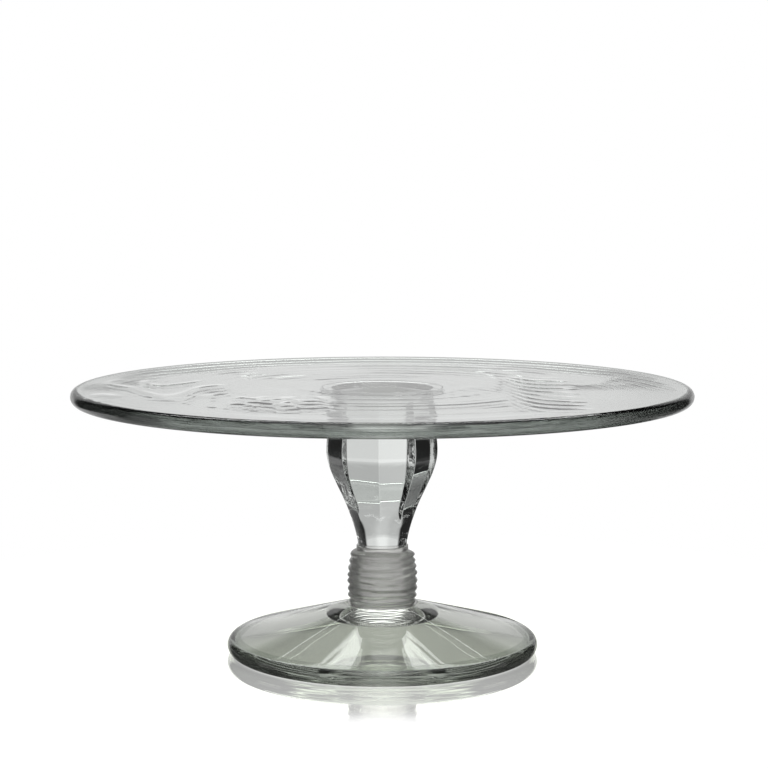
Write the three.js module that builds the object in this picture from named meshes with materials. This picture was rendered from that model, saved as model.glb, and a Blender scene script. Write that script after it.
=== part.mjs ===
// Glass cake stand: a round plate on a panel-cut baluster, a ribbed collar and a low conical foot.
// Millimetres, +Z up. The origin is the centre of the foot on the table.
import * as THREE from 'three';

// Driving dimensions
const PLATE_RADIUS = 150;
const PLATE_THICKNESS = 6.8;
const STAND_HEIGHT = 131.2;
const FOOT_RADIUS = 76;
const JOINT_GAP = 0.3;             // clearance between neighbouring glass pieces

// Heights of the joints, from the top down
const PLATE_BOTTOM = STAND_HEIGHT - PLATE_THICKNESS;
const UPPER_MERESE_TOP = PLATE_BOTTOM - JOINT_GAP;
const UPPER_MERESE_THICKNESS = 3.1;
const UPPER_MERESE_RADIUS = 30.5;
const STEM_TOP = UPPER_MERESE_TOP - UPPER_MERESE_THICKNESS - JOINT_GAP;
const STEM_BOTTOM = 52.5;
const COLLAR_TOP = STEM_BOTTOM - JOINT_GAP;
const COLLAR_BOTTOM = 19.2;
const FOOT_SEAT = COLLAR_BOTTOM - JOINT_GAP;

// Baluster: an inverted pear, whose bulb is cut by hand with nine uneven flat panels.
// The blank is a smooth curve through these (radius, height) points.
const BLANK_PROFILE = [
  [11.8, STEM_BOTTOM], [13.3, 60], [15.9, 68], [18.7, 75], [22.0, 82], [25.1, 89],
  [26.9, 95], [27.4, 100], [27.0, 106], [26.0, 113], [24.6, STEM_TOP],
];
const PANEL_EDGES = [-84, -45, -3.5, 35.5, 78, 122, 165, 203, 240];  // degrees round from -Y
const PANELS_START = 60;           // below this height the neck is round
const PANELS_FULL = 74;            // above this height the panels meet at sharp edges
const STEM_SECTIONS = 24;
const STEPS_PER_PANEL = 4;

// Ribbed collar: a barrel with trailed rings of glass around it, its lower end sunk in the foot
const RING_COUNT = 8;
const LOWEST_RING = 24.6;
const RING_PITCH = 3.4;
const RING_WIDTH = 2.5;
const RING_DEPTH = 1.3;
const RING_ROUNDING = 0.35;        // how far a ring's shoulders stand back from its crown
const RING_SHOULDER = 0.6;         // where the shoulders are, as a part of the half width
const BARREL_MIDDLE = 35;
const BARREL_RADIUS = 17.2;        // over the middle rings
const BARREL_FALL = 0.0085;        // radius lost per square millimetre of height from the middle
const BARREL_STEPS = 6;
const PLUG_RADIUS = 13.2;          // at the collar's very bottom
const PLUG_TOP = 23.2;
const COLLAR_LIP_RADIUS = 12.6;
const COLLAR_LIP_HEIGHT = 1.2;
const COLLAR_LIP_CHAMFER = 0.5;
const COLLAR_SHOULDER_HEIGHT = 2.6;

// Foot: a thick round-edged sheet spun into a low cone, with a flat ground disc under its middle
const FOOT_RIM = 4.1;              // radius of the rim's round edge
const CONE_SLOPE = 0.28;
const CONE_APEX = 28.5;            // where the upper face would meet the axis
const FOOT_WALL = 2 * FOOT_RIM * Math.hypot(1, CONE_SLOPE);
const GROUND_DISC_RADIUS = 26;
const REST_INNER_RADIUS = 68.5;
const REST_STEP = 1;
const SHELF_RADIUS = 17;           // where the collar's lowest ring sits
const SHELF_HEIGHT = LOWEST_RING - RING_WIDTH / 2 - JOINT_GAP;

const clearGlass = new THREE.MeshStandardMaterial({ color: 0xdfe4df, roughness: 0.04, metalness: 0 });
const satinGlass = new THREE.MeshStandardMaterial({ color: 0xaab0a8, roughness: 0.45, metalness: 0 });

const stand = new THREE.Group();

// Points along an arc in the (radius, height) plane, angles in degrees from +radius.
function arc(centreRadius, centreHeight, radius, startDegrees, endDegrees, steps) {
  const points = [];
  for (let i = 0; i <= steps; i += 1) {
    const angle = THREE.MathUtils.degToRad(startDegrees + (endDegrees - startDegrees) * i / steps);
    points.push([centreRadius + radius * Math.cos(angle), centreHeight + radius * Math.sin(angle)]);
  }
  return points;
}

// Turns a (radius, height) outline about the Z axis.
function turned(outline, segments) {
  const points = outline.map(([radius, height]) => new THREE.Vector2(radius, height));
  const geometry = new THREE.LatheGeometry(points, segments);
  geometry.rotateX(Math.PI / 2);
  return geometry;
}

function addPiece(name, geometry, material) {
  const mesh = new THREE.Mesh(geometry, material);
  mesh.name = name;
  stand.add(mesh);
}

// A solid disc whose edge is a half round.
function roundEdgedDisc(radius, bottom, thickness, edgeSteps) {
  const edge = thickness / 2;
  return [
    [0, bottom],
    ...arc(radius - edge, bottom + edge, edge, -90, 90, edgeSteps),
    [0, bottom + thickness],
  ];
}

// Each panel's first edge and width, as angles about Z.
function panels() {
  return PANEL_EDGES.map((edge, i) => {
    const next = i + 1 < PANEL_EDGES.length ? PANEL_EDGES[i + 1] : PANEL_EDGES[0] + 360;
    return { start: THREE.MathUtils.degToRad(edge - 90), width: THREE.MathUtils.degToRad(next - edge) };
  });
}

// One row of the stem round a (radius, height) point of its blank: each panel is a chord of the blank.
function stemRow(blank, height) {
  const cut = THREE.MathUtils.smoothstep(height, PANELS_START, PANELS_FULL);
  const row = [];
  for (const { start, width } of panels()) {
    for (let i = 0; i < STEPS_PER_PANEL; i += 1) {
      const turn = width * i / STEPS_PER_PANEL;
      const flat = blank * Math.cos(width / 2) / Math.cos(turn - width / 2);
      const radius = blank + (flat - blank) * cut;
      row.push(radius * Math.cos(start + turn), radius * Math.sin(start + turn), height);
    }
  }
  return row;
}

function stemGeometry() {
  const profile = new THREE.SplineCurve(BLANK_PROFILE.map(([r, h]) => new THREE.Vector2(r, h)));
  const positions = profile.getPoints(STEM_SECTIONS).flatMap((point) => stemRow(point.x, point.y));
  const around = PANEL_EDGES.length * STEPS_PER_PANEL;
  const bottomCentre = positions.length / 3;
  const topCentre = bottomCentre + 1;
  positions.push(0, 0, STEM_BOTTOM, 0, 0, STEM_TOP);
  const faces = [];
  const topRow = STEM_SECTIONS * around;
  for (let j = 0; j < around; j += 1) {
    const next = (j + 1) % around;
    for (let low = 0; low < topRow; low += around) {
      const high = low + around;
      faces.push(low + j, low + next, high + next, low + j, high + next, high + j);
    }
    faces.push(bottomCentre, next, j, topCentre, topRow + j, topRow + next);
  }
  const geometry = new THREE.BufferGeometry();
  geometry.setAttribute('position', new THREE.Float32BufferAttribute(positions, 3));
  geometry.setIndex(faces);
  return geometry;
}

function barrelRadius(height) {
  return BARREL_RADIUS - BARREL_FALL * (height - BARREL_MIDDLE) ** 2;
}

// The core's wall leaves room for each ring: it follows the barrel just inside them.
function coreRadius(height) {
  return barrelRadius(height) - RING_DEPTH - JOINT_GAP;
}

function collarCoreOutline() {
  const wallTop = COLLAR_TOP - COLLAR_SHOULDER_HEIGHT;
  const outline = [[0, COLLAR_BOTTOM], [PLUG_RADIUS, COLLAR_BOTTOM]];
  for (let i = 0; i <= BARREL_STEPS; i += 1) {
    const height = PLUG_TOP + (wallTop - PLUG_TOP) * i / BARREL_STEPS;
    outline.push([coreRadius(height), height]);
  }
  outline.push(
    [COLLAR_LIP_RADIUS, COLLAR_TOP - COLLAR_LIP_HEIGHT],
    [COLLAR_LIP_RADIUS - COLLAR_LIP_CHAMFER, COLLAR_TOP],
    [0, COLLAR_TOP],
  );
  return outline;
}

// One trailed ring: flat against the core, round outside, its outline closed on itself.
function ringOutline(height) {
  const outer = barrelRadius(height);
  const inner = outer - RING_DEPTH;
  const half = RING_WIDTH / 2;
  const shoulder = half * RING_SHOULDER;
  return [
    [inner, height - half],
    [outer - RING_ROUNDING, height - shoulder],
    [outer, height],
    [outer - RING_ROUNDING, height + shoulder],
    [inner, height + half],
    [inner, height - half],
  ];
}

function coneHeight(radius) {
  return CONE_APEX - CONE_SLOPE * radius;
}

function footOutline() {
  const rimCentre = FOOT_RADIUS - FOOT_RIM;
  const coneDegrees = THREE.MathUtils.radToDeg(Math.atan(CONE_SLOPE));
  const middle = (rimCentre + SHELF_RADIUS) / 2;
  return [
    [0, coneHeight(GROUND_DISC_RADIUS) - FOOT_WALL],
    [GROUND_DISC_RADIUS, coneHeight(GROUND_DISC_RADIUS) - FOOT_WALL],
    [middle, coneHeight(middle) - FOOT_WALL],
    [REST_INNER_RADIUS - REST_STEP, coneHeight(REST_INNER_RADIUS - REST_STEP) - FOOT_WALL],
    [REST_INNER_RADIUS, 0],
    ...arc(rimCentre, FOOT_RIM, FOOT_RIM, -90, 0, 3),
    ...arc(rimCentre, FOOT_RIM, FOOT_RIM, 0, 90 - coneDegrees, 3).slice(1),
    [middle, coneHeight(middle)],
    [SHELF_RADIUS, coneHeight(SHELF_RADIUS)],
    [SHELF_RADIUS, SHELF_HEIGHT],
    [coreRadius(PLUG_TOP) + JOINT_GAP, SHELF_HEIGHT],
    [PLUG_RADIUS + JOINT_GAP, FOOT_SEAT],
    [0, FOOT_SEAT],
  ];
}

addPiece('plate', turned(roundEdgedDisc(PLATE_RADIUS, PLATE_BOTTOM, PLATE_THICKNESS, 8), 72), clearGlass);

const upperMereseBottom = UPPER_MERESE_TOP - UPPER_MERESE_THICKNESS;
const upperMerese = roundEdgedDisc(UPPER_MERESE_RADIUS, upperMereseBottom, UPPER_MERESE_THICKNESS, 4);
addPiece('upper_merese', turned(upperMerese, 40), clearGlass);

addPiece('baluster_stem', stemGeometry(), clearGlass);
addPiece('collar_core', turned(collarCoreOutline(), 32), satinGlass);

for (let i = 0; i < RING_COUNT; i += 1) {
  const outline = ringOutline(LOWEST_RING + i * RING_PITCH);
  addPiece(`collar_ring_${i + 1}`, turned(outline, 32), satinGlass);
}

addPiece('foot', turned(footOutline(), 60), clearGlass);

export default stand;
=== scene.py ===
"""A hand-made glass cake stand on a pale glossy table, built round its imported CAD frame.

Every clear or satin piece is one closed mesh. Where two pieces are fused, their touching faces
coincide and carry an invisible material, so light passes from glass to glass as in the real joint.
The noise is a fixed function of place, so every run makes the same stand.
"""
import math

import bmesh
import bpy
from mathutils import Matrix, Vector, noise

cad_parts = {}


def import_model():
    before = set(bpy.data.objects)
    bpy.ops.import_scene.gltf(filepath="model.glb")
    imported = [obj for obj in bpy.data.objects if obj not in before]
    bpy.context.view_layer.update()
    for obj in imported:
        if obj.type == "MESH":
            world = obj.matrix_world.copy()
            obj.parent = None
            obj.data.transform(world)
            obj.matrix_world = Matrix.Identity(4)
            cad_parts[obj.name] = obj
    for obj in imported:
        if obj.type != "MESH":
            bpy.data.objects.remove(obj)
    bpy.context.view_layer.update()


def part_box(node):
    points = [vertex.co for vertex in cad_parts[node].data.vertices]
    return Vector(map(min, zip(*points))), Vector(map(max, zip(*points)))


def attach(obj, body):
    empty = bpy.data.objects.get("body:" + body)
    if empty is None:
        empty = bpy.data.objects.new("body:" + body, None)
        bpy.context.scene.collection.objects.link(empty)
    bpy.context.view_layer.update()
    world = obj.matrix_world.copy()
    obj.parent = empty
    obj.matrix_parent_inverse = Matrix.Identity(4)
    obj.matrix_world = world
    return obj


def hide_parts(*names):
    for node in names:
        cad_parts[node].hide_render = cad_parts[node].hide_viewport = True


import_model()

MM = 0.001
RING_NODES = ["collar_ring_%d" % i for i in range(1, 9)]


# ---------------------------------------------------------------- sizes, from the frame

HALF_GAP = 0.15 * MM            # the frame keeps fused pieces 0.3 mm apart


def low(node):
    """Height of a node's lowest point."""
    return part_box(node)[0][2]


def high(node):
    """Height of its highest point."""
    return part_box(node)[1][2]


def radius_of(node):
    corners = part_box(node)
    return (corners[1][0] - corners[0][0]) / 2


def joint_height(lower, upper):
    """The plane in which two fused pieces meet."""
    return (high(lower) + low(upper)) / 2


PLATE_TOP = high("plate")
PLATE_BOTTOM = joint_height("upper_merese", "plate")
MERESE_BOTTOM = joint_height("baluster_stem", "upper_merese")
STEM_BOTTOM = joint_height("collar_core", "baluster_stem")
COLLAR_BOTTOM = low("collar_core") - HALF_GAP

# Radii of the fused joints
MERESE_CONTACT = radius_of("upper_merese") - 1.2 * MM
STEM_CONTACT = 24.6 * MM
NECK_CONTACT = 11.8 * MM
PLUG_RADIUS = 13.4 * MM         # the collar's lower end, sunk in the foot


# ---------------------------------------------------------------- small helpers

def smooth(start, end, value):
    """0 where value is before start, 1 where it's past end, and a smooth step between them."""
    t = min(max((value - start) / (end - start), 0.0), 1.0)
    return t * t * (3 - 2 * t)


def crest(distance, width):
    """A smooth bump of height 1 where distance is zero."""
    return math.exp(-(distance / width) ** 2)


def arc(centre_r, centre_z, radius, start, end, steps):
    """Outline points along an arc, angles in degrees from straight out."""
    points = []
    for i in range(steps + 1):
        a = math.radians(start + (end - start) * i / steps)
        points.append((centre_r + radius * math.cos(a), centre_z + radius * math.sin(a)))
    return points


def line(start, end, steps):
    """Outline points from start up to, but without, end."""
    return [(start[0] + (end[0] - start[0]) * i / steps, start[1] + (end[1] - start[1]) * i / steps)
            for i in range(steps)]


def curve(points, steps):
    """A smooth Catmull-Rom curve through a few outline points, without the last one."""
    result = []
    for i in range(len(points) - 1):
        p0 = points[max(i - 1, 0)]
        p1, p2 = points[i], points[i + 1]
        p3 = points[min(i + 2, len(points) - 1)]
        for j in range(steps):
            t = j / steps
            result.append(tuple(
                0.5 * (2 * b + (c - a) * t + (2 * a - 5 * b + 4 * c - d) * t * t
                       + (3 * b - a - 3 * c + d) * t * t * t)
                for a, b, c, d in zip(p0, p1, p2, p3)))
    return result


AROUND = 256                    # steps round a piece that brings no angles of its own
AXIS = 1e-7                     # an outline point nearer the axis than this lies on it


def turned(name, strips, angles=None, shape=None):
    """Turns an outline about Z into one closed mesh object.

    strips is a list of (points, slot): the outline from the axis at the bottom, out and up, and back
    to the axis, each stretch with its material slot. shape moves a point, given as a Vector.
    """
    outline = []
    slots = []
    for points, slot in strips:
        outline += points
        slots += [slot] * len(points)
    angles = angles or [2 * math.pi * i / AROUND for i in range(AROUND)]
    shape = shape or (lambda v: v)
    mesh = bmesh.new()
    rows = []
    for r, z in outline:
        if r < AXIS:
            rows.append([mesh.verts.new(shape(Vector((0, 0, z))))])
        else:
            rows.append([mesh.verts.new(shape(Vector((r * math.cos(a), r * math.sin(a), z))))
                         for a in angles])
    count = len(angles)
    for row, above, slot in zip(rows, rows[1:], slots):
        for i in range(count):
            j = (i + 1) % count
            if len(row) == 1:
                corners = (row[0], above[j], above[i])
            elif len(above) == 1:
                corners = (row[i], row[j], above[0])
            else:
                corners = (row[i], row[j], above[j], above[i])
            face = mesh.faces.new(corners)
            face.smooth = True
            face.material_index = slot
    data = bpy.data.meshes.new(name)
    mesh.normal_update()
    mesh.to_mesh(data)
    mesh.free()
    piece = bpy.data.objects.new(name, data)
    bpy.context.scene.collection.objects.link(piece)
    return piece


def finish_piece(piece, materials, nodes):
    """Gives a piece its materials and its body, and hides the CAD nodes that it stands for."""
    for material in materials:
        piece.data.materials.append(material)
    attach(piece, "root")
    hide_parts(*nodes)


# ---------------------------------------------------------------- materials

def new_material(name):
    material = bpy.data.materials.new(name)
    material.use_nodes = True
    return material, material.node_tree.nodes["Principled BSDF"]


def noise_texture(material, scale, detail):
    """The noise texture at each place on the object, from 0 to 1."""
    nodes, links = material.node_tree.nodes, material.node_tree.links
    place = nodes.new("ShaderNodeTexCoord")
    texture = nodes.new("ShaderNodeTexNoise")
    texture.inputs["Scale"].default_value = scale
    texture.inputs["Detail"].default_value = detail
    links.new(place.outputs["Object"], texture.inputs["Vector"])
    return texture.outputs["Fac"]


def vary_tint(material, shader, pattern, tint, darkest, start, end):
    """Base colour: darkest times the tint where the pattern is below start, the tint past end."""
    shade = material.node_tree.nodes.new("ShaderNodeValToRGB")
    first, last = shade.color_ramp.elements
    first.position = start
    first.color = (*[c * darkest for c in tint], 1)
    last.position = end
    last.color = (*tint, 1)
    material.node_tree.links.new(pattern, shade.inputs["Fac"])
    material.node_tree.links.new(shade.outputs["Color"], shader.inputs["Base Color"])


def vary_haze(material, shader, pattern, haze_low, haze_high, start, end):
    """Roughness: haze_low where the pattern is below start, haze_high past end."""
    haze = material.node_tree.nodes.new("ShaderNodeMapRange")
    haze.inputs["From Min"].default_value = start
    haze.inputs["From Max"].default_value = end
    haze.inputs["To Min"].default_value = haze_low
    haze.inputs["To Max"].default_value = haze_high
    material.node_tree.links.new(pattern, haze.inputs["Value"])
    material.node_tree.links.new(haze.outputs["Result"], shader.inputs["Roughness"])


def glass(name, tint, haze_low, haze_high):
    """Fire-polished glass: a tint and a little haze that vary, and a faint ripple. The rims' dark
    tints are painted shade.
    """
    material, shader = new_material(name)
    nodes, links = material.node_tree.nodes, material.node_tree.links
    shader.inputs["Transmission Weight"].default_value = 1.0
    shader.inputs["IOR"].default_value = 1.52
    cords = noise_texture(material, scale=14.0, detail=3.0)
    vary_tint(material, shader, cords, tint, darkest=0.975, start=0.3, end=0.7)
    vary_haze(material, shader, cords, haze_low, haze_high, start=0.55, end=0.8)
    ripple = noise_texture(material, scale=30.0, detail=1.0)
    bump = nodes.new("ShaderNodeBump")
    bump.inputs["Strength"].default_value = 0.05
    bump.inputs["Distance"].default_value = 1 * MM
    links.new(ripple, bump.inputs["Height"])
    links.new(bump.outputs["Normal"], shader.inputs["Normal"])
    return material


def satin(name, tint):
    """Satin glass: light passes, but scattered by a fine acid-soft skin."""
    material, shader = new_material(name)
    shader.inputs["Transmission Weight"].default_value = 0.9
    shader.inputs["IOR"].default_value = 1.5
    grain = noise_texture(material, scale=90.0, detail=4.0)
    vary_tint(material, shader, grain, tint, darkest=0.9, start=0.0, end=1.0)
    vary_haze(material, shader, grain, haze_low=0.14, haze_high=0.30, start=0.0, end=1.0)
    return material


def fused(name):
    """The inside faces of a fused joint, which can't be seen."""
    material, shader = new_material(name)
    shader.inputs["Alpha"].default_value = 0.0
    return material


clear_glass = glass("clear_glass", (0.95, 0.975, 0.955), 0.0, 0.03)
# painted shade: the plate's rim glass is tinted far darker than the rest, for the rim's dark look
painted_shade_rim_glass = glass("painted_shade_rim_glass", (0.44, 0.49, 0.45), 0.14, 0.20)
foot_glass = glass("foot_glass", (0.90, 0.93, 0.87), 0.0, 0.03)
# painted shade: the foot's rim and resting ring are tinted darker than the rest of the foot
painted_shade_foot_rim_glass = glass("painted_shade_foot_rim_glass", (0.58, 0.63, 0.56), 0.08, 0.12)
satin_glass = satin("satin_glass", (1.0, 1.0, 0.97))
fused_joint = fused("fused_joint")
# The last slot holds the rims' darker glass, which is painted shade.
OUTSIDE, JOINT, PAINTED_SHADE_SLOT = 0, 1, 2  # each piece's material slots


# ---------------------------------------------------------------- plate

RIM_START = 146 * MM            # radius where the plate's faces give way to its round rim
CALM_START = 140 * MM           # the faces' waves die away from here to the rim
MERESE_FADE = 12 * MM           # the lower face's waves rise over this width round the joint
FACE_LAYER = 0.1                # keeps the noise of the two faces apart
FACE_SKIN = 0.2 * MM            # a point this near the top or bottom belongs to that face
PLATE_DISH = 0.35 * MM          # how far the plate's middle lies below its rim
DISH_START = 118 * MM           # radius from which the upper face rises to the rim
PLATE_WAVES = [(0.15, 22.0), (0.03, 55.0)]  # (height in millimetres, scale) of each noise

# Rings left by spinning: (height, wavelength, phase) of each, in millimetres and radians
SPUN_WAVES = [(0.020, 19, 0.0), (0.004, 8.3, 1.3)]
GROOVE = 0.060 * MM             # depth of a ring left by the punty
GROOVE_RADIUS = 79 * MM
GROOVE_WIDTH = 3.0 * MM
RING_CHANGE = 0.8               # how much the rings' height changes from place to place
RING_SCALE = 12.0               # noise scale of that change

# Wrinkled patches: where each begins, is full, still is, and ends, in x and in y, in millimetres
RIGHT_PATCH = ((56, 64, 80, 96), (-112, -98, 26, 40))
LEFT_PATCH = ((-140, -130, -86, -72), (-62, -50, 12, 28))
FRONT_PATCH = ((-72, -62, -30, -20), (-100, -88, -58, -46))
WRINKLE = 0.36 * MM             # height of a wrinkle's crest
ROW_PITCH = 17 * MM             # between the rows of the right-hand patch
ROW_WIDTH = 3.6 * MM
ROW_BEND = 0.3                  # how far a row wavers, in pitches
ROW_SCALE = 25                  # noise scale of that wavering
HOOK_LENGTH = 45 * MM           # the rows hook back at their inner ends
HOOK_START = 60 * MM
HOOK_FADE = 7 * MM

STREAKS_AROUND = 7.0            # noise scale of a rim's streaks, round the rim
STREAKS_UP = 620.0              # and up it: the streaks are long and shallow
STREAK_DEPTH = 0.06 * MM
STREAK_FADE = 1.5 * MM


def spun_rings(r):
    """Height of the concentric rings that spinning left."""
    rings = 0.0
    for height, wavelength, phase in SPUN_WAVES:
        rings += height * MM * math.sin(2 * math.pi * r / (wavelength * MM) + phase)
    return rings - GROOVE * crest(r - GROOVE_RADIUS, GROOVE_WIDTH)


def within(value, begin, full, still_full, end):
    """1 between full and still_full, fading to 0 at begin and at end, all four in millimetres."""
    return smooth(begin * MM, full * MM, value) * (1 - smooth(still_full * MM, end * MM, value))


def hooked_rows(v):
    """Parallel crests, from 0 to 1, that waver and hook back at their inner ends."""
    bend = ROW_BEND * noise.noise(Vector((v.x * ROW_SCALE, v.y * ROW_SCALE, 5.0)))
    hook = HOOK_LENGTH * math.exp((HOOK_START - v.x) / HOOK_FADE)
    row = (v.y - hook) / ROW_PITCH + bend
    return crest((row - round(row)) * ROW_PITCH, ROW_WIDTH)


def folds(v, scale_x, scale_y, layer, width):
    """Winding crests, from 0 to 1, along the lines where a layer of noise is zero."""
    return crest(noise.noise(Vector((v.x * scale_x, v.y * scale_y, layer))), width)


def chill_marks(v):
    """Height of the fine wrinkles left where the soft plate touched a cold tool."""
    right, left, front = [within(v.x, *across) * within(v.y, *along)
                          for across, along in (RIGHT_PATCH, LEFT_PATCH, FRONT_PATCH)]
    height = 0.0
    if right > 0:
        height += right * WRINKLE * hooked_rows(v)
    if left > 0:
        height += left * WRINKLE * folds(v, 38, 22, layer=9.0, width=0.11)
    if front > 0:
        height += front * WRINKLE * folds(v, 70, 55, layer=2.0, width=0.15)
    return height


def edge_wobble(v, start):
    """Long shallow streaks that the fire left along a rim, beyond the radius start."""
    r = math.hypot(v.x, v.y)
    if r < start:
        return v
    angle = math.atan2(v.y, v.x)
    x, y = STREAKS_AROUND * math.cos(angle), STREAKS_AROUND * math.sin(angle)
    depth = STREAK_DEPTH * noise.noise(Vector((x, y, v.z * STREAKS_UP)))
    k = 1 + depth * smooth(start, start + STREAK_FADE, r) / r
    return Vector((v.x * k, v.y * k, v.z))


def plate_ripple(v):
    """The plate was spun by hand, so it is slightly dished and neither face is quite flat."""
    if v.z < PLATE_BOTTOM + FACE_SKIN:
        face = -1
    elif v.z > PLATE_TOP - FACE_SKIN:
        face = 1
    else:
        return edge_wobble(v, RIM_START)
    r = math.hypot(v.x, v.y)
    calm = smooth(MERESE_CONTACT, MERESE_CONTACT + MERESE_FADE, r) if face < 0 else 1.0
    calm *= 1 - smooth(CALM_START, RIM_START, r)
    spot = Vector((v.x, v.y, face * FACE_LAYER))
    wave = sum(noise.noise(spot * scale) * height * MM for height, scale in PLATE_WAVES)
    wave += spun_rings(r) * (1.0 + RING_CHANGE * noise.noise(spot * RING_SCALE))
    dish = 0.0
    if face > 0:
        wave += chill_marks(v)
        dish = PLATE_DISH * (1 - smooth(DISH_START, RIM_START, r))
    return Vector((v.x, v.y, v.z + wave * calm - dish))


def plate_angles():
    """Angles round the plate, closer together where its wrinkles are."""
    # The right-hand patch lies within 45 degrees of X, the others between 160 and 245.
    fine, coarse = 0.7, 1.0
    angles = []
    turn = -45.0
    while turn < 315.0 - 0.01:
        angles.append(math.radians(turn))
        turn += fine if turn < 45 or 160 < turn < 245 else coarse
    return angles


def make_plate():
    """A flat disc with a round rim, whose edge glass, tinted darker as painted shade, ends 60 degrees
    up.
    """
    edge = (PLATE_TOP - PLATE_BOTTOM) / 2
    rim = radius_of("plate") - edge
    middle = PLATE_BOTTOM + edge
    strips = [
        (line((0, PLATE_BOTTOM), (MERESE_CONTACT, PLATE_BOTTOM), 4), JOINT),
        (line((MERESE_CONTACT, PLATE_BOTTOM), (rim, PLATE_BOTTOM), 60), OUTSIDE),
        (arc(rim, middle, edge, -90, 60, 28)[:-1], PAINTED_SHADE_SLOT),
        (arc(rim, middle, edge, 60, 90, 6), OUTSIDE),
        (line((rim - 1 * MM, PLATE_TOP), (0, PLATE_TOP), 120), OUTSIDE),
        ([(0, PLATE_TOP)], OUTSIDE),
    ]
    piece = turned("plate_glass", strips, angles=plate_angles(), shape=plate_ripple)
    finish_piece(piece, [clear_glass, fused_joint, painted_shade_rim_glass], ["plate"])


# ---------------------------------------------------------------- upper merese

def make_upper_merese():
    """A thin disc, round at its edge, with a narrow fillet up to the plate."""
    edge = (PLATE_BOTTOM - MERESE_BOTTOM) / 2
    outer = radius_of("upper_merese")
    middle = MERESE_BOTTOM + edge
    strips = [
        (line((0, MERESE_BOTTOM), (STEM_CONTACT, MERESE_BOTTOM), 3), JOINT),
        (line((STEM_CONTACT, MERESE_BOTTOM), (outer - edge, MERESE_BOTTOM), 6), OUTSIDE),
        (arc(outer - edge, middle, edge, -90, 35, 12), OUTSIDE),
        ([(MERESE_CONTACT + 0.1 * MM, PLATE_BOTTOM - 0.35 * MM)], OUTSIDE),
        (line((MERESE_CONTACT, PLATE_BOTTOM), (0, PLATE_BOTTOM), 4), JOINT),
        ([(0, PLATE_BOTTOM)], JOINT),
    ]
    piece = turned("upper_merese_glass", strips)
    finish_piece(piece, [clear_glass, fused_joint], ["upper_merese"])


# ---------------------------------------------------------------- stem

# The nine hand-cut panels are uneven: directions of their edges, in degrees round from the front.
PANEL_EDGES = [-84, -45, -3.5, 35.5, 78, 122, 165, 203, 240]
PANELS_START = 60 * MM          # below this height the neck is round
PANELS_FULL = 74 * MM
PANELS_FADE = 113 * MM          # and from here up the panels fade into the round blank
PANELS_END = 120 * MM
BLANK_SPARE = 1.004             # they fade into a blank this much bigger, which arches their ends
EDGE_RADIUS = 0.9 * MM          # how far the fire has rounded the edges
EDGE_BEND = math.radians(20)    # half the turn from one panel to the next
FLAT_STEPS = 14
ROUND_STEPS = 6
ROUND_HALF = math.radians(1.0)  # half the angle given to each rounded edge


def panels():
    """Each panel's first edge and width, as angles about Z."""
    starts = [math.radians(a - 90) for a in PANEL_EDGES]
    ends = starts[1:] + [starts[0] + 2 * math.pi]
    return [(start, end - start) for start, end in zip(starts, ends)]


def stem_angles():
    """Angles round the stem, crowded at the panels' edges so that those stay crisp."""
    angles = []
    for start, width in panels():
        for i in range(ROUND_STEPS):
            angles.append(start + ROUND_HALF * (2 * i / ROUND_STEPS - 1))
        for i in range(FLAT_STEPS):
            angles.append(start + ROUND_HALF + (width - 2 * ROUND_HALF) * i / FLAT_STEPS)
    return angles


def flat_radius(angle, distance):
    """Radius at an angle of a polygon whose corners lie at distance, with its edges rounded."""
    for start, width in panels():
        turn = (angle - start + ROUND_HALF) % (2 * math.pi) - ROUND_HALF
        if turn <= width - ROUND_HALF:
            break
    half = width / 2
    apothem = distance * math.cos(half)
    flat = apothem / math.cos(turn - half)
    centre = (distance * math.cos(EDGE_BEND) - EDGE_RADIUS) / math.cos(EDGE_BEND)
    inside = EDGE_RADIUS ** 2 - (centre * math.sin(turn)) ** 2
    if abs(turn) < ROUND_HALF and inside > 0:
        return min(flat, centre * math.cos(turn) + math.sqrt(inside))
    return flat


def stem_blank():
    """The round blank before cutting, an inverted pear, from the neck up."""
    top = MERESE_BOTTOM / MM
    neck = STEM_BOTTOM / MM
    points = [(11.8, neck), (13.3, 60), (15.9, 68), (18.7, 75), (22.0, 82), (25.1, 89), (26.9, 95),
              (27.4, 100), (27.0, 106), (26.0, 113), (24.6, top)]
    return [(r * MM, z * MM) for r, z in curve(points, 16)]


def cut_stem(v):
    """Cuts the panels: each is flat across, follows the blank's profile, and fades into it."""
    r = math.hypot(v.x, v.y)
    if r < AXIS or v.z < PANELS_START:
        return v
    fade = smooth(PANELS_START, PANELS_FULL, v.z) * (1 - smooth(PANELS_FADE, PANELS_END, v.z))
    flat = flat_radius(math.atan2(v.y, v.x), r)
    spare = r * BLANK_SPARE
    k = min(spare + (flat - spare) * fade, r) / r
    return Vector((v.x * k, v.y * k, v.z))


def make_stem():
    """One gather of glass, round at its neck and cut with flat panels above."""
    strips = [
        ([(0, STEM_BOTTOM)], JOINT),
        (stem_blank(), OUTSIDE),
        ([(STEM_CONTACT, MERESE_BOTTOM)], JOINT),
        ([(0, MERESE_BOTTOM)], JOINT),
    ]
    piece = turned("stem_glass", strips, angles=stem_angles(), shape=cut_stem)
    finish_piece(piece, [clear_glass, fused_joint], ["baluster_stem"])


# ---------------------------------------------------------------- collar

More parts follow.
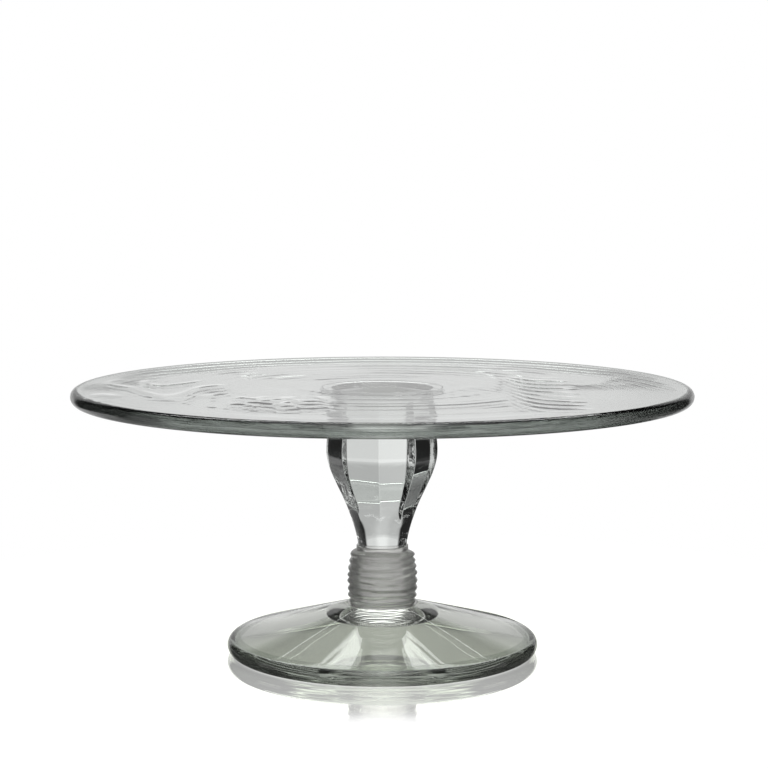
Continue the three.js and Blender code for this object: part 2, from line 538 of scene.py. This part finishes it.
COLLAR_STEPS = 220
BARREL_MIDDLE = 35 * MM
BARREL_RADIUS = 17.2 * MM       # over the middle rings
BARREL_FALL = 8.5               # radius lost per square metre of height from the middle
VALLEY = 0.95 * MM              # depth between two threads
RIDGE_POWER = 0.8               # below 1, the threads are broad and the valleys narrow
LIP_RADIUS = 12.7 * MM          # above the last thread
LIP_START = 0.9 * MM            # heights above the last thread where the lip begins, and is full
LIP_FULL = 2.0 * MM
TUCK = 5.0 * MM                 # height over which the lower end swells from the plug
WOBBLE_LIFT = 1.1 * MM          # how far the threads waver up and down
LIFT_SCALES = (1.3, 110)        # noise scales of this, round the collar and up it
WOBBLE_SWELL = 0.5 * MM         # how far they waver in and out
SWELL_SCALES = (2.2, 260)
SWELL_LAYER = 7                 # keeps its noise apart from the other
WOBBLE_TOP = 4 * MM             # the wobble fades over this height under the stem
WOBBLE_FULL = 8 * MM            # and from this height above the lower end down to the tuck


def collar_outline():
    """The satin collar's wall: rings of thread melted on a barrel."""
    pitch = low("collar_ring_2") - low("collar_ring_1")
    first = (low("collar_ring_1") + high("collar_ring_1")) / 2
    last = (low("collar_ring_8") + high("collar_ring_8")) / 2
    points = []
    for i in range(COLLAR_STEPS + 1):
        z = COLLAR_BOTTOM + (STEM_BOTTOM - COLLAR_BOTTOM) * i / COLLAR_STEPS
        barrel = BARREL_RADIUS - BARREL_FALL * (z - BARREL_MIDDLE) ** 2
        ridge = 0.5 + 0.5 * math.cos(2 * math.pi * (z - first) / pitch)
        r = barrel - VALLEY * (1 - ridge ** RIDGE_POWER)
        r += (LIP_RADIUS - r) * smooth(last + LIP_START, last + LIP_FULL, z)
        r += (PLUG_RADIUS - r) * (1 - smooth(COLLAR_BOTTOM, COLLAR_BOTTOM + TUCK, z))
        points.append((r, z))
    return points


def collar_wobble(v):
    """The threads were laid on by hand: they waver up and down, and in and out."""
    r = math.hypot(v.x, v.y)
    fade = 1 - smooth(STEM_BOTTOM - WOBBLE_TOP, STEM_BOTTOM, v.z)
    fade *= smooth(COLLAR_BOTTOM + TUCK, COLLAR_BOTTOM + WOBBLE_FULL, v.z)
    if r < NECK_CONTACT or fade <= 0:
        return v
    around = Vector((v.x / r, v.y / r, 0))
    lift_place = around * LIFT_SCALES[0] + Vector((0, 0, v.z * LIFT_SCALES[1]))
    swell_place = around * SWELL_SCALES[0] + Vector((0, 0, v.z * SWELL_SCALES[1] + SWELL_LAYER))
    lift = WOBBLE_LIFT * noise.noise(lift_place)
    swell = WOBBLE_SWELL * noise.noise(swell_place)
    k = 1 + swell * fade / r
    return Vector((v.x * k, v.y * k, v.z + lift * fade))


def make_collar():
    """The collar's core and rings in one piece, because they are fused."""
    strips = [
        ([(0, COLLAR_BOTTOM)], JOINT),
        (collar_outline(), OUTSIDE),
        ([(NECK_CONTACT, STEM_BOTTOM)], JOINT),
        ([(0, STEM_BOTTOM)], JOINT),
    ]
    piece = turned("collar_glass", strips, shape=collar_wobble)
    finish_piece(piece, [satin_glass, fused_joint], ["collar_core"] + RING_NODES)


# ---------------------------------------------------------------- foot

FOOT_EDGE = 4.1 * MM            # radius of the rim's round edge
CONE_SLOPE = 0.28
CONE_APEX = 28.5 * MM           # where the upper face would meet the axis
CONE_TILT = math.atan(CONE_SLOPE)
FOOT_WALL = 2 * FOOT_EDGE / math.cos(CONE_TILT)
GROUND_DISC = 26 * MM           # radius of the flat ground under the middle
CONE_MIDDLE = 48 * MM
CONE_END = 68.6 * MM            # radius where the lower face turns down to the resting ring
REST_INNER = 69.6 * MM
UPPER_END = 70 * MM             # radius where the upper face gives way to the rim
STREAK_START = 71 * MM
SEAT_EDGE = 16.0 * MM           # mouth of the seat that the collar is sunk in
SEAT_WALL = [(15.0 * MM, 22 * MM), (14.0 * MM, 19.5 * MM)]  # (radius, height) points down it


def upper_face(r):
    """A point of the foot's upper face."""
    return (r, CONE_APEX - CONE_SLOPE * r)


def lower_face(r):
    """A point of its lower face, one wall below."""
    return (r, CONE_APEX - CONE_SLOPE * r - FOOT_WALL)


def foot_streaks(v):
    """The streaks on the foot's rim."""
    return edge_wobble(v, STREAK_START)


def make_foot():
    """A thick round-edged sheet, spun into a low cone, with a flat ground disc under its middle."""
    rim = radius_of("foot") - FOOT_EDGE
    ground = lower_face(GROUND_DISC)[1]
    under = [lower_face(GROUND_DISC), lower_face(CONE_MIDDLE), lower_face(CONE_END), (REST_INNER, 0)]
    strips = [
        (line((0, ground), (GROUND_DISC - 0.3 * MM, ground), 8), OUTSIDE),
        (curve(under, 16), OUTSIDE),
        # the resting ring and the rim carry the darker glass, which is painted shade
        (line((REST_INNER, 0), (rim, 0), 3), PAINTED_SHADE_SLOT),
        (arc(rim, FOOT_EDGE, FOOT_EDGE, -90, 90 - math.degrees(CONE_TILT), 30), PAINTED_SHADE_SLOT),
        (line(upper_face(UPPER_END), upper_face(SEAT_EDGE), 40), OUTSIDE),
        (SEAT_WALL, JOINT),
        ([(PLUG_RADIUS, COLLAR_BOTTOM)], JOINT),
        ([(0, COLLAR_BOTTOM)], JOINT),
    ]
    piece = turned("foot_glass", strips, shape=foot_streaks)
    finish_piece(piece, [foot_glass, fused_joint, painted_shade_foot_rim_glass], ["foot"])


make_plate()
make_upper_merese()
make_stem()
make_collar()
make_foot()


# ---------------------------------------------------------------- nodes that work out numbers

def math_node(tree, operation, a, b=None):
    """The result of a Math node. Each operand is a number or another node's output."""
    node = tree.nodes.new("ShaderNodeMath")
    node.operation = operation
    for socket, value in zip(node.inputs, (a, b)):
        if isinstance(value, (int, float)):
            socket.default_value = value
        elif value is not None:
            tree.links.new(value, socket)
    return node.outputs[0]


def step(tree, value, start, end, first=0.0, last=1.0):
    """A smooth step in value, from first at start to last at end."""
    node = tree.nodes.new("ShaderNodeMapRange")
    node.interpolation_type = "SMOOTHSTEP"
    node.inputs["From Min"].default_value = start
    node.inputs["From Max"].default_value = end
    node.inputs["To Min"].default_value = first
    node.inputs["To Max"].default_value = last
    tree.links.new(value, node.inputs["Value"])
    return node.outputs["Result"]


# ---------------------------------------------------------------- table

TABLE_RADIUS = 0.32
TABLE_SINK = 0.2 * MM           # the table lies this far below the foot, so that they don't touch
CAMERA_GLOW = 1.1               # how bright the camera itself sees the table: plain white
MIRROR_GAIN = 9.5               # times the Fresnel reflection squared, up to MIRROR_MOST
MIRROR_MOST = 0.8
MIRROR_TINT = (1.95, 2.0, 1.85, 1)  # above 1, because the studio is dimmer than the real one
MIRROR_FADE = (0.11, 0.14)      # the mirror fades out between these distances from the axis
FOOT_SHADOW = (0.068, 0.076)    # the table is under the foot inside these
UNDER_GLOSS = 0.35              # how much of the mirror is left under the foot
UNDER_GLOW = 0.27               # light of the table under the foot
NEAR_GLOW = 0.06                # round it, in shade
FAR_GLOW = 0.8                  # and at the table's edge
FAR_RAMP = (0.24, 0.32)
CORNER_GLOW = 0.48              # and in its back left half, for the views from other sides
CORNER_RAMP = (0.06, 0.20)      # that half begins where Y - X passes these
CORNER_CLEAR = (0.09, 0.12)     # and it stays this far off the foot


def make_floor():
    """A pale glossy table top. It mirrors the foot, and is in shade close round it."""
    mesh = bmesh.new()
    bmesh.ops.create_circle(mesh, cap_ends=True, segments=96, radius=TABLE_RADIUS)
    data = bpy.data.meshes.new("table_top")
    mesh.to_mesh(data)
    mesh.free()
    floor = bpy.data.objects.new("table_top", data)
    bpy.context.scene.collection.objects.link(floor)
    floor.location.z = -TABLE_SINK
    material = bpy.data.materials.new("pale_table")
    material.use_nodes = True
    tree = material.node_tree
    nodes, links = tree.nodes, tree.links
    nodes.clear()

    place = nodes.new("ShaderNodeTexCoord")
    length = nodes.new("ShaderNodeVectorMath")
    length.operation = "LENGTH"
    links.new(place.outputs["Object"], length.inputs[0])
    off_axis = length.outputs["Value"]

    fresnel = nodes.new("ShaderNodeFresnel")
    fresnel.inputs["IOR"].default_value = 1.5
    grazing = math_node(tree, "MULTIPLY", fresnel.outputs["Fac"], fresnel.outputs["Fac"])
    gloss = math_node(tree, "MULTIPLY", grazing, MIRROR_GAIN)
    gloss = math_node(tree, "MINIMUM", gloss, MIRROR_MOST)
    gloss = math_node(tree, "MULTIPLY", gloss, step(tree, off_axis, *MIRROR_FADE, 1.0, 0.0))
    gloss = math_node(tree, "MULTIPLY", gloss, step(tree, off_axis, *FOOT_SHADOW, UNDER_GLOSS, 1.0))
    mirror = nodes.new("ShaderNodeBsdfGlossy")
    mirror.inputs["Roughness"].default_value = 0.0
    mirror.inputs["Color"].default_value = MIRROR_TINT

    around = step(tree, off_axis, *FAR_RAMP, NEAR_GLOW, FAR_GLOW)
    under = step(tree, off_axis, *FOOT_SHADOW, UNDER_GLOW, 0.0)
    shade = math_node(tree, "MAXIMUM", around, under)
    split = nodes.new("ShaderNodeSeparateXYZ")
    links.new(place.outputs["Object"], split.inputs[0])
    diagonal = math_node(tree, "SUBTRACT", split.outputs["Y"], split.outputs["X"])
    corner = step(tree, diagonal, *CORNER_RAMP, 0.0, CORNER_GLOW)
    corner = math_node(tree, "MULTIPLY", corner, step(tree, off_axis, *CORNER_CLEAR))
    shade = math_node(tree, "MAXIMUM", shade, corner)
    paths = nodes.new("ShaderNodeLightPath")
    direct = math_node(tree, "MULTIPLY", paths.outputs["Is Camera Ray"], CAMERA_GLOW)
    glow = nodes.new("ShaderNodeEmission")
    links.new(math_node(tree, "MAXIMUM", shade, direct), glow.inputs["Strength"])

    mix = nodes.new("ShaderNodeMixShader")
    links.new(gloss, mix.inputs["Fac"])
    links.new(glow.outputs["Emission"], mix.inputs[1])
    links.new(mirror.outputs["BSDF"], mix.inputs[2])
    out = nodes.new("ShaderNodeOutputMaterial")
    links.new(mix.outputs["Shader"], out.inputs["Surface"])
    floor.data.materials.append(material)


# ---------------------------------------------------------------- studio light

# Levels are strengths of the white background. Directions are degrees of elevation, or degrees
# round to either side from straight behind the stand.
DARK = 0.015                    # everywhere
FLOOR = (-90.0, -89.0)          # a band that begins so takes in all below its end
BACKDROP_HALF = 29.0            # half the backdrop's width, and how far its edge is blurred
BACKDROP_BLUR = 3
BACK_LOW = 0.88                 # the backdrop's level at the horizon
LOW_FADE = (0.0, 14.0)
BACK_HIGH = 0.61                # and higher up
HIGH_FADE = (23.0, 27.0)
BACK_FALL = 0.22                # the part it loses from its middle outward
FALL_RAMP = (3.0, 14.0)
HORIZON = 0.94                  # a bright line where it meets the table
HORIZON_BAND = (-1.5, 0.0, 2.0, 3.5)
SIDE_LEVEL = 0.6                # a light panel at each side
SIDE_EDGE = (9.0, 14.0)
SIDE_TOP = (10.0, 20.0)
TABLE_LEVEL = 0.2               # the pale table far away, below TABLE_EDGE
TABLE_EDGE = -13.0
TABLE_BLUR = 1.5
TABLE_CORNERS = 0.6             # how much lighter it is in the diagonals, but not behind at the right
CORNER_BAND = (22.0, 28.0, 62.0, 68.0)  # the diagonals, in degrees from straight left or right
FRONT_HALF = (88.0, 92.0)       # past these a direction is on the camera's side
LEFT_HALF = (-0.1, 0.1)         # in the direction's X
SOFTBOX = 3.0                   # a soft box above the backdrop
SOFT_EDGE = (38.0, 44.0)
SOFT_BAND = (41.0, 42.5, 57.0, 60.0)
TOP_EDGE = (62.0, 70.0)         # a plain white ceiling
FRONT_LEVEL = 0.45              # a panel in each front diagonal, for the views from behind
FRONT_START = (105.0, 120.0)
FRONT_BAND = (-18.0, -14.0, 24.0, 34.0)


def make_world():
    """A bright backdrop with a soft box over it, in a dark studio with a few paler panels.

    The camera itself sees plain white; only the glass and the table's mirror see the studio.
    """
    world = bpy.data.worlds.new("studio")
    bpy.context.scene.world = world
    world.use_nodes = True
    tree = world.node_tree
    nodes, links = tree.nodes, tree.links
    nodes.clear()

    def times(a, b):
        return math_node(tree, "MULTIPLY", a, b)

    def brightest(*levels):
        result = levels[0]
        for level in levels[1:]:
            result = math_node(tree, "MAXIMUM", result, level)
        return result

    def past(value, edge):
        return step(tree, value, *edge)

    def before(value, edge):
        return math_node(tree, "SUBTRACT", 1.0, past(value, edge))

    def band(value, start, full, still_full, end):
        return times(past(value, (start, full)), before(value, (still_full, end)))

    place = nodes.new("ShaderNodeTexCoord")
    split = nodes.new("ShaderNodeSeparateXYZ")
    links.new(place.outputs["Generated"], split.inputs[0])
    x, y, z = split.outputs
    degrees = 180 / math.pi
    elevation = times(math_node(tree, "ARCSINE", z), degrees)
    azimuth = math_node(tree, "ARCTAN2", x, y)
    azimuth = times(math_node(tree, "ABSOLUTE", azimuth), degrees)
    aside = math_node(tree, "ABSOLUTE", math_node(tree, "SUBTRACT", azimuth, 90.0))
    diagonals = band(aside, *CORNER_BAND)

    width = before(azimuth, (BACKDROP_HALF - BACKDROP_BLUR, BACKDROP_HALF + BACKDROP_BLUR))
    falloff = math_node(tree, "SUBTRACT", 1.0, times(past(azimuth, FALL_RAMP), BACK_FALL))
    low_part = times(band(elevation, *FLOOR, *LOW_FADE), BACK_LOW)
    high_part = times(band(elevation, *FLOOR, *HIGH_FADE), BACK_HIGH)
    horizon = times(band(elevation, *HORIZON_BAND), HORIZON)
    backdrop = times(times(width, falloff), brightest(low_part, high_part, horizon))

    side = times(before(aside, SIDE_EDGE), before(elevation, SIDE_TOP))
    side = times(side, SIDE_LEVEL)
    not_back_right = brightest(past(azimuth, FRONT_HALF), before(x, LEFT_HALF))
    table = times(times(diagonals, not_back_right), TABLE_CORNERS)
    table = math_node(tree, "ADD", table, TABLE_LEVEL)
    table = times(table, band(elevation, *FLOOR, TABLE_EDGE - TABLE_BLUR, TABLE_EDGE + TABLE_BLUR))
    top = past(elevation, TOP_EDGE)
    softbox = times(before(azimuth, SOFT_EDGE), band(elevation, *SOFT_BAND))
    softbox = times(softbox, SOFTBOX)
    front = times(past(azimuth, FRONT_START), diagonals)
    front = times(front, band(elevation, *FRONT_BAND))
    front = times(front, FRONT_LEVEL)
    light = brightest(backdrop, side, table, top, softbox, front)
    light = math_node(tree, "ADD", light, DARK)

    paths = nodes.new("ShaderNodeLightPath")
    plain = nodes.new("ShaderNodeBackground")
    plain.inputs["Strength"].default_value = 1.0
    plain.inputs["Color"].default_value = (1, 1, 1, 1)
    studio = nodes.new("ShaderNodeBackground")
    studio.inputs["Color"].default_value = (1, 1, 1, 1)
    links.new(light, studio.inputs["Strength"])
    mix = nodes.new("ShaderNodeMixShader")
    links.new(paths.outputs["Is Camera Ray"], mix.inputs["Fac"])
    links.new(studio.outputs[0], mix.inputs[1])
    links.new(plain.outputs[0], mix.inputs[2])
    out = nodes.new("ShaderNodeOutputWorld")
    links.new(mix.outputs[0], out.inputs["Surface"])


# ---------------------------------------------------------------- camera and render limits

CAMERA_PLACE = (0.0008, -0.9828, 0.2371)
CAMERA_DOWN = 6.13              # degrees below level
SENSOR_WIDTH = 36.0             # this and the lens are in millimetres
LENS = 95.4
NEAR_CLIP = 0.01


def make_camera():
    """The camera that was fitted to the photograph's outlines."""
    data = bpy.data.cameras.new("camera")
    data.sensor_width = SENSOR_WIDTH
    data.lens = LENS
    data.clip_start = NEAR_CLIP
    camera = bpy.data.objects.new("camera", data)
    bpy.context.scene.collection.objects.link(camera)
    camera.location = CAMERA_PLACE
    camera.rotation_euler = (math.radians(90 - CAMERA_DOWN), 0, 0)
    bpy.context.scene.camera = camera


make_floor()
make_world()
make_camera()

scene = bpy.context.scene
scene.view_settings.view_transform = "Standard"
# Enough bounces for light to cross the whole stand, with its inner reflections
scene.cycles.max_bounces = 32
scene.cycles.transmission_bounces = 32
scene.cycles.glossy_bounces = 16
scene.cycles.transparent_max_bounces = 64
